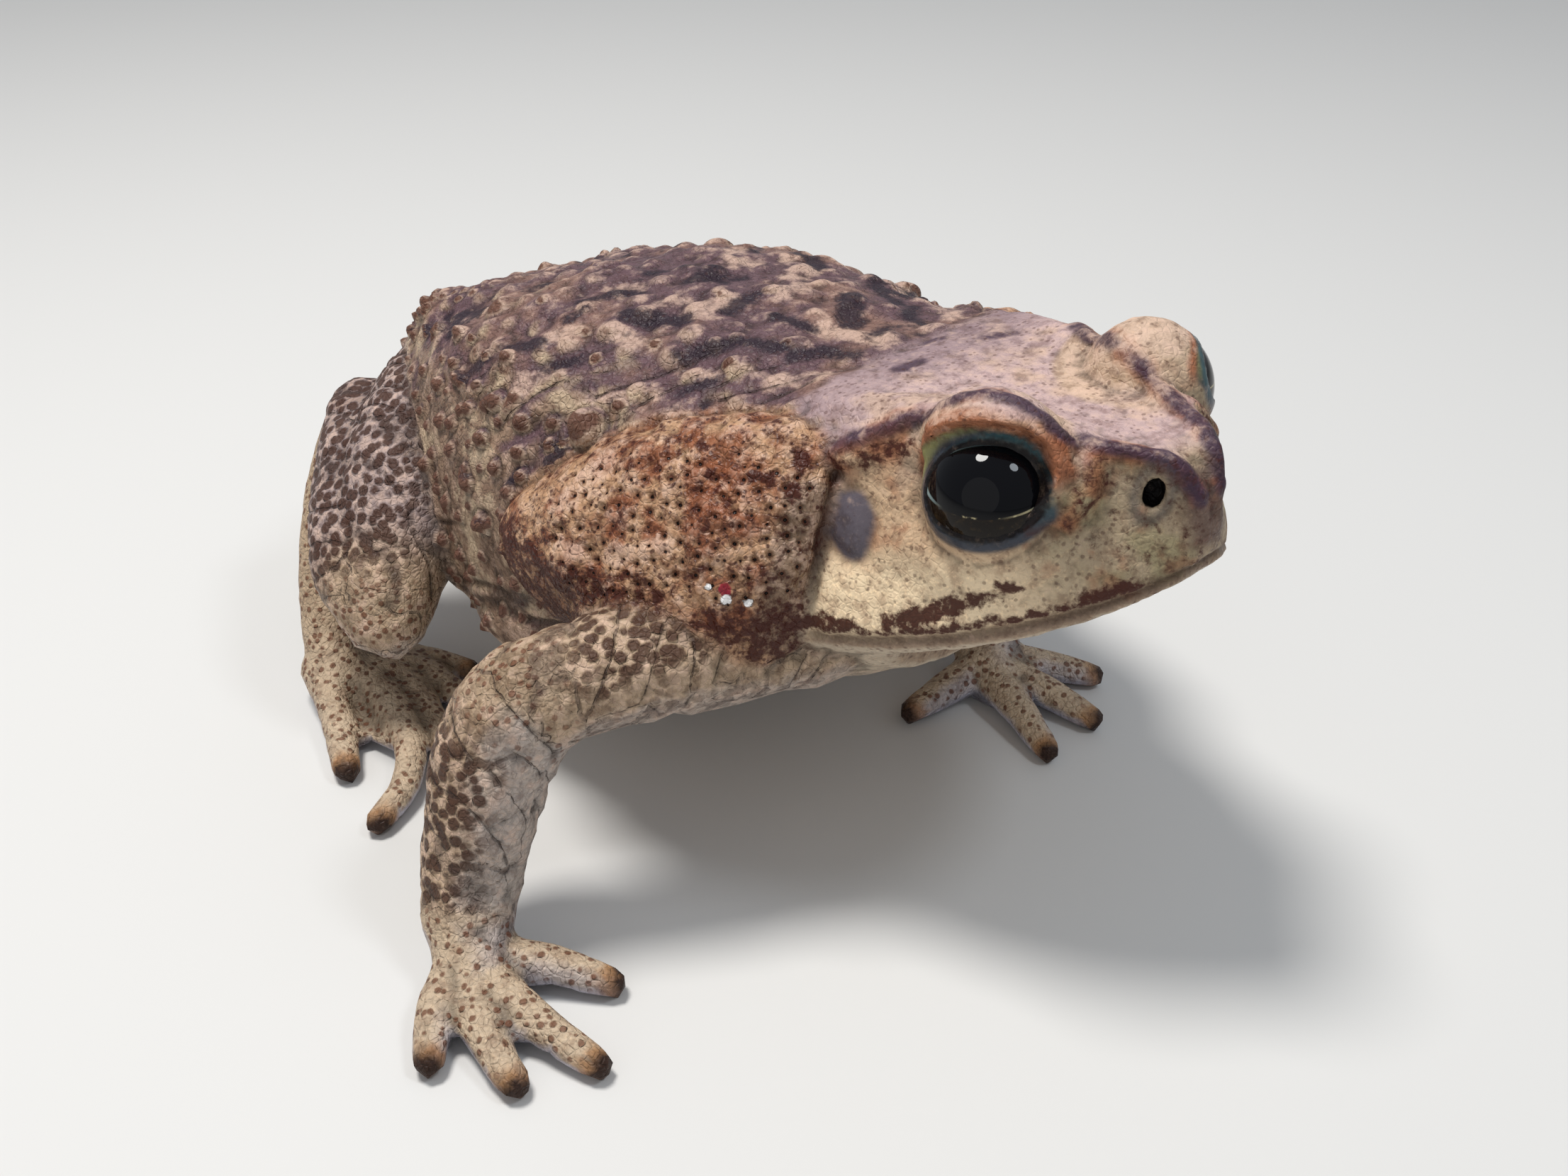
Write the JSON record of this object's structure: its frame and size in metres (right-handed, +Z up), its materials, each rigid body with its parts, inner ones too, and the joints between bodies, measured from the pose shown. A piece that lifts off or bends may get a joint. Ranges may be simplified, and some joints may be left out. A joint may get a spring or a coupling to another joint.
{
  "type": "toad model",
  "caption": "Life-size still model of a large warty toad standing alert on bent limbs, with swollen shoulder glands, bony brows, dark eyes and webbed hind feet.",
  "frame": {"origin": "middle of the model's box seen from above, at the level of the floor that it stands on", "axes": "+X towards the snout, +Y to the toad's left, +Z up"},
  "size_m": [0.1441, 0.1428, 0.0763],
  "materials": {
    "torso_skin": "dull, warty, slightly moist",
    "head_skin": "dull, smooth over bone",
    "throat_skin": "dull, finely granular",
    "gland_skin": "dull, pored",
    "limb_skin": "dull, finely granular",
    "foot_skin": "dull, slightly moist",
    "eyeball": "wet gloss",
    "eardrum": "smooth, taut"
  },
  "bodies": {
    "root": {"torso": "torso_skin", "head": "head_skin", "lower_jaw": "throat_skin", "parotoid_left": "gland_skin", "parotoid_right": "gland_skin", "eye_left": "eyeball", "eye_right": "eyeball", "tympanum_left": "eardrum", "tympanum_right": "eardrum", "upper_arm_left": "limb_skin", "upper_arm_right": "limb_skin", "forearm_left": "limb_skin", "forearm_right": "limb_skin", "hand_left": "foot_skin", "hand_right": "foot_skin", "thigh_left": "limb_skin", "thigh_right": "limb_skin", "shank_left": "limb_skin", "shank_right": "limb_skin", "foot_left": "foot_skin", "foot_right": "foot_skin"}
  },
  "joints": []
}
